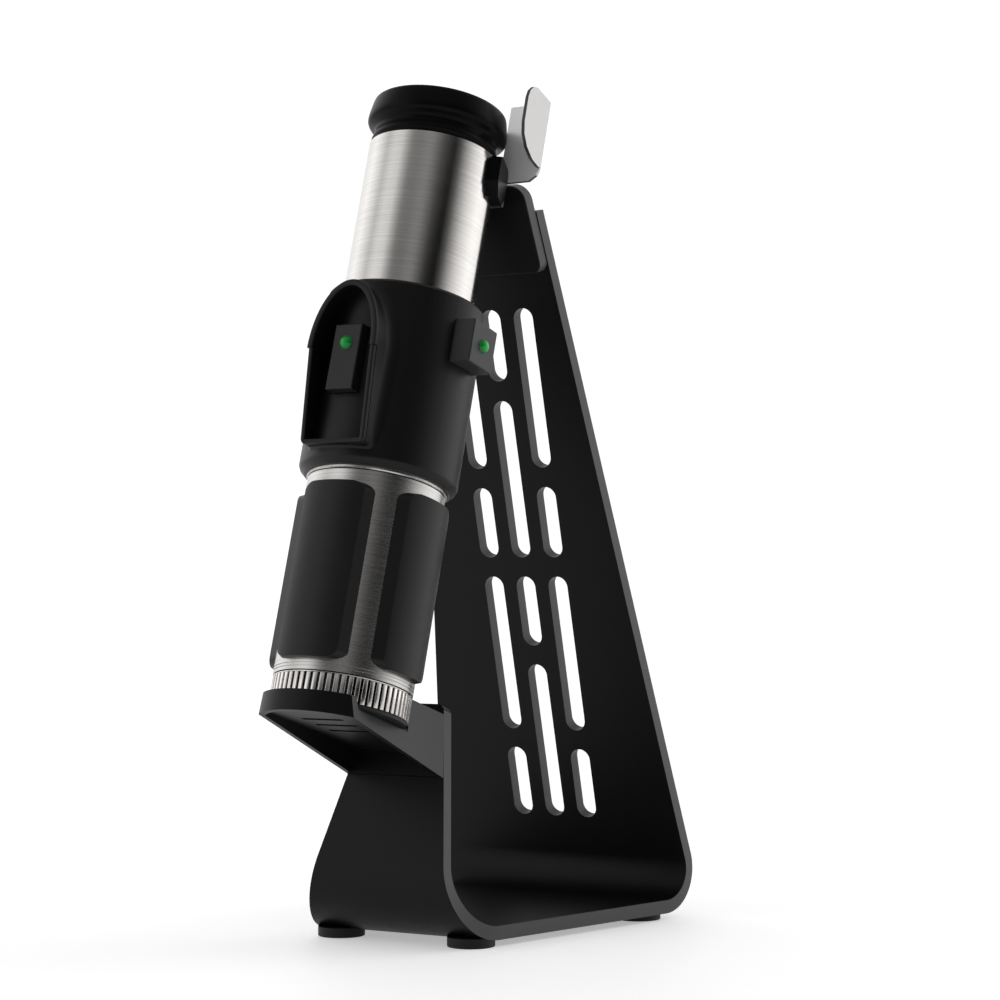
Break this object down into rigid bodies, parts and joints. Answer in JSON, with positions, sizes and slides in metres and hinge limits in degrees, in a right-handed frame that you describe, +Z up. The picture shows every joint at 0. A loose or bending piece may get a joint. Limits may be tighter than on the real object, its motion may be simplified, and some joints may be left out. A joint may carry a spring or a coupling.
{
  "type": "electric wine opener",
  "caption": "Cordless electric wine opener with a steel barrel and rubber grip, leaning in a cradle on a slotted bent-plate stand",
  "frame": {"origin": "on the table, under the middle of the outline", "axes": "+Z up, front towards -Y, +X to the object's right as seen from the front"},
  "size_m": [0.1172, 0.1922, 0.3253],
  "materials": {
    "black_coat": "satin powder coat",
    "black_anodised": "satin black anodised",
    "brushed_steel": "brushed round the axis",
    "bright_steel": "polished",
    "black_rubber": "matt",
    "grey_button": "satin",
    "green_lens": "glossy tinted",
    "inner_plastic": "moulded",
    "motor_steel": "plated",
    "gear_metal": "sintered",
    "screw_steel": "zinc plated",
    "brass_contact": "plain",
    "board_green": "solder mask",
    "cell_wrap": "shrink wrap"
  },
  "bodies": {
    "stand": {"stand_frame": "black_coat", "rest_plate": "black_coat", "rest_plate_screws": "screw_steel", "cradle": "black_coat", "cradle_liner": "black_rubber", "cradle_screws": "screw_steel", "foot_front_left": "black_rubber", "foot_front_right": "black_rubber", "foot_rear_left": "black_rubber", "foot_rear_right": "black_rubber", "foot_screws": "screw_steel"},
    "opener": {"mouth_flange": "black_anodised", "mouth_seal": "black_rubber", "steel_barrel": "brushed_steel", "bottle_guide": "inner_plastic", "clip_mount": "black_anodised", "hook_clip": "bright_steel", "clip_screws": "screw_steel", "collar_housing": "black_anodised", "button_hood": "black_anodised", "front_switch": "inner_plastic", "side_switch": "inner_plastic", "circuit_board": "board_green", "side_board": "board_green", "grip_sleeve": "brushed_steel", "upper_band": "bright_steel", "grip_pad_front": "black_rubber", "grip_pad_right": "black_rubber", "grip_pad_back": "black_rubber", "grip_pad_left": "black_rubber", "inner_frame": "inner_plastic", "battery_cell_left": "cell_wrap", "battery_cell_right": "cell_wrap", "battery_contacts": "brass_contact", "charge_socket": "inner_plastic", "motor_can": "motor_steel", "motor_end_bell": "inner_plastic", "gearbox_plate": "motor_steel", "ring_gear": "gear_metal", "bearing_plate": "motor_steel", "spindle_bearing": "brass_contact", "gearbox_screws": "screw_steel"},
    "front_button_body": {"front_button": "grey_button", "front_button_lens": "green_lens"},
    "side_button_body": {"side_button": "grey_button", "side_button_lens": "green_lens"},
    "end_cap": {"knurled_ring": "bright_steel", "end_plug": "inner_plastic"},
    "rotor": {"motor_rotor": "motor_steel", "sun_pinion": "gear_metal"},
    "output": {"planet_carrier": "gear_metal", "spindle": "motor_steel", "worm": "bright_steel"},
    "planet_1": {"planet_gear_1": "gear_metal"},
    "planet_2": {"planet_gear_2": "gear_metal"},
    "planet_3": {"planet_gear_3": "gear_metal"}
  },
  "joints": [
    {"name": "opener_lift", "type": "slide", "parent": "stand", "child": "opener", "axis": [0, 0.2907, 0.9568], "range_m": [0, 0.05]},
    {"name": "front_button_press", "type": "slide", "parent": "opener", "child": "front_button_body", "axis": [0, 0.9568, -0.2907], "range_m": [0, 0.001], "stiffness_N_per_m": 300},
    {"name": "side_button_press", "type": "slide", "parent": "opener", "child": "side_button_body", "axis": [-1, 0, 0], "range_m": [0, 0.001], "stiffness_N_per_m": 300},
    {"name": "end_cap_turn", "type": "hinge", "parent": "opener", "child": "end_cap", "pos_m": [0, -0.06601, 0.09147], "axis": [0, 0.2907, 0.9568], "range_deg": [0, 90]},
    {"name": "worm_spin", "type": "hinge", "parent": "opener", "child": "output", "pos_m": [0, -0.02386, 0.23021], "axis": [0, 0.2907, 0.9568], "continuous": true},
    {"name": "rotor_spin", "type": "hinge", "parent": "opener", "child": "rotor", "pos_m": [0, -0.03549, 0.19194], "axis": [0, 0.2907, 0.9568], "continuous": true},
    {"name": "planet_spin_1", "type": "hinge", "parent": "output", "child": "planet_1", "pos_m": [0.009, -0.02953, 0.21155], "axis": [0, 0.2907, 0.9568], "continuous": true},
    {"name": "planet_spin_2", "type": "hinge", "parent": "output", "child": "planet_2", "pos_m": [-0.0045, -0.02207, 0.20929], "axis": [0, 0.2907, 0.9568], "continuous": true},
    {"name": "planet_spin_3", "type": "hinge", "parent": "output", "child": "planet_3", "pos_m": [-0.0045, -0.03698, 0.21382], "axis": [0, 0.2907, 0.9568], "continuous": true}
  ],
  "couplings": [
    {"joint": "rotor_spin", "follows": "worm_spin", "ratio": 5},
    {"joint": "planet_spin_1", "follows": "worm_spin", "ratio": -2.6667},
    {"joint": "planet_spin_2", "follows": "worm_spin", "ratio": -2.6667},
    {"joint": "planet_spin_3", "follows": "worm_spin", "ratio": -2.6667}
  ]
}
